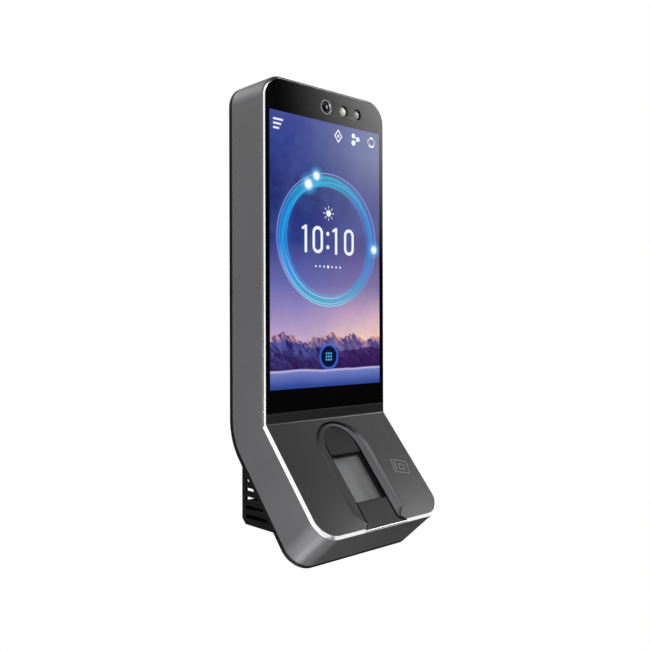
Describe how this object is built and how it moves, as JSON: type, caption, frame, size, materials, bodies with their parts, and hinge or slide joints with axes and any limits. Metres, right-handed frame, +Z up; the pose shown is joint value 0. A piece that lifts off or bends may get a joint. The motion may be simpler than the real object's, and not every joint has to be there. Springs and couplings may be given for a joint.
{
  "type": "fingerprint scanner terminal",
  "caption": "Wall-mounted access terminal with an upright touch display over a sloped foot that holds an optical finger reader, hung on a steel wall bracket.",
  "frame": {"origin": "on the wall plane, at the centre of the bracket's four anchor holes", "axes": "+X to the right seen from the front, +Y into the wall, +Z up"},
  "size_m": [0.0688, 0.0561, 0.1911],
  "materials": {
    "bracket_steel": "zinc-plated sheet, satin",
    "dark_steel": "black oxide",
    "grey_metal": "satin dark grey with fine grain",
    "bright_trim": "polished bevel",
    "panel_metal": "satin dark grey",
    "cover_glass": "black-backed cover glass, glossy",
    "tape": "matte",
    "lcd_cell": "lit display",
    "white_plastic": "moulded",
    "magnesium": "cast, blasted",
    "black_plastic": "fine spark texture",
    "reader_glass": "clear reader glass, slightly grey",
    "board": "solder mask",
    "copper": "etched copper",
    "tin_plate": "tin-plated sheet",
    "ring_metal": "polished",
    "lens_glass": "coated lens",
    "lamp": "diffusing lens",
    "grey_lamp": "smoked lens",
    "blue_plastic": "moulded",
    "green_plastic": "moulded",
    "screw_steel": "nickel plated",
    "film": "polyimide film",
    "red_plastic": "moulded",
    "brass": "turned"
  },
  "bodies": {
    "bracket": {"wall_bracket": "bracket_steel", "security_screw": "dark_steel"},
    "terminal": {"main_housing": "grey_metal", "front_trim": "bright_trim", "front_glass": "cover_glass", "glass_tape": "tape", "lcd_panel": "lcd_cell", "lcd_backlight": "white_plastic", "mid_frame": "magnesium", "lower_front_panel": "panel_metal", "finger_guide": "panel_metal", "sensor_bezel": "black_plastic", "sensor_window": "reader_glass", "sensor_prism": "reader_glass", "sensor_housing": "black_plastic", "sensor_board": "board", "rfid_board": "board", "rfid_coil": "copper", "speaker": "black_plastic", "camera_board": "board", "camera_module": "black_plastic", "camera_ring": "ring_metal", "camera_lens": "lens_glass", "status_led": "lamp", "infrared_led": "grey_lamp", "main_board": "board", "processor_shield": "tin_plate", "radio_module": "tin_plate", "coin_cell_holder": "black_plastic", "coin_cell": "tin_plate", "relay": "blue_plastic", "ethernet_jack": "tin_plate", "terminal_blocks": "green_plastic", "terminal_screws": "screw_steel", "ribbon_connectors": "white_plastic", "lcd_ribbon": "film", "sensor_ribbon": "film", "tamper_switch": "black_plastic", "reset_switch": "black_plastic", "board_screws": "screw_steel", "rear_cover": "black_plastic", "rear_gasket": "tape", "cover_screws": "screw_steel", "vent_cover": "black_plastic", "vent_cover_screws": "screw_steel", "lock_insert": "brass"},
    "tamper_contact": {"tamper_plunger": "white_plastic"},
    "reset_key": {"reset_button": "red_plastic"}
  },
  "joints": [
    {"name": "terminal_lift", "type": "slide", "parent": "bracket", "child": "terminal", "axis": [0, 0, 1], "range_m": [0, 0.0045]},
    {"name": "tamper_press", "type": "slide", "parent": "terminal", "child": "tamper_contact", "axis": [0, -1, 0], "range_m": [0, 0.0012], "stiffness_N_per_m": 150},
    {"name": "reset_press", "type": "slide", "parent": "terminal", "child": "reset_key", "axis": [0, -1, 0], "range_m": [0, 0.0004], "stiffness_N_per_m": 300}
  ]
}
